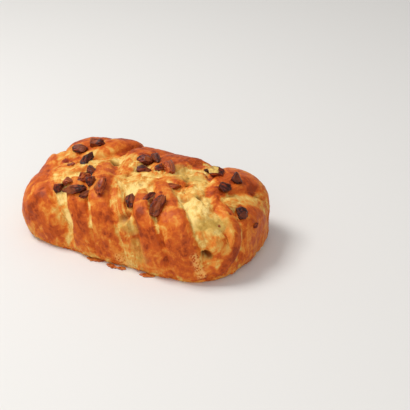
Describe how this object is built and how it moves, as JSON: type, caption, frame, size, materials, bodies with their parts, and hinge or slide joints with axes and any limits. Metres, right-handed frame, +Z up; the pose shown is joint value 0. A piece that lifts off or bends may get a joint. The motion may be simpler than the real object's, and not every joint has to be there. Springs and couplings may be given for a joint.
{
  "type": "braided loaf",
  "caption": "Small braided loaf of laminated dough with overlapping folded strips, topped with glazed chopped nut pieces; sits flat on its underside.",
  "frame": {"origin": "middle of the flat underside", "axes": "+X along the loaf, away from the end the strips' tips point to; +Y across it; +Z up out of the underside"},
  "size_m": [0.1489, 0.0902, 0.0464],
  "materials": {
    "crust": "glazed, baked golden brown",
    "nut": "glossy, caramelised"
  },
  "bodies": {
    "root": {"loaf": "crust", "nut_piece_01": "nut", "nut_piece_02": "nut", "nut_piece_03": "nut", "nut_piece_04": "nut", "nut_piece_05": "nut", "nut_piece_06": "nut", "nut_piece_07": "nut", "nut_piece_08": "nut", "nut_piece_09": "nut", "nut_piece_10": "nut", "nut_piece_11": "nut", "nut_piece_12": "nut", "nut_piece_13": "nut", "nut_piece_14": "nut", "nut_piece_15": "nut", "nut_piece_16": "nut", "nut_piece_17": "nut", "nut_piece_18": "nut", "nut_piece_19": "nut", "nut_piece_20": "nut", "nut_piece_21": "nut", "nut_piece_22": "nut", "nut_piece_23": "nut", "nut_piece_24": "nut", "nut_piece_25": "nut", "nut_piece_26": "nut", "nut_piece_27": "nut", "nut_piece_28": "nut"}
  },
  "joints": []
}
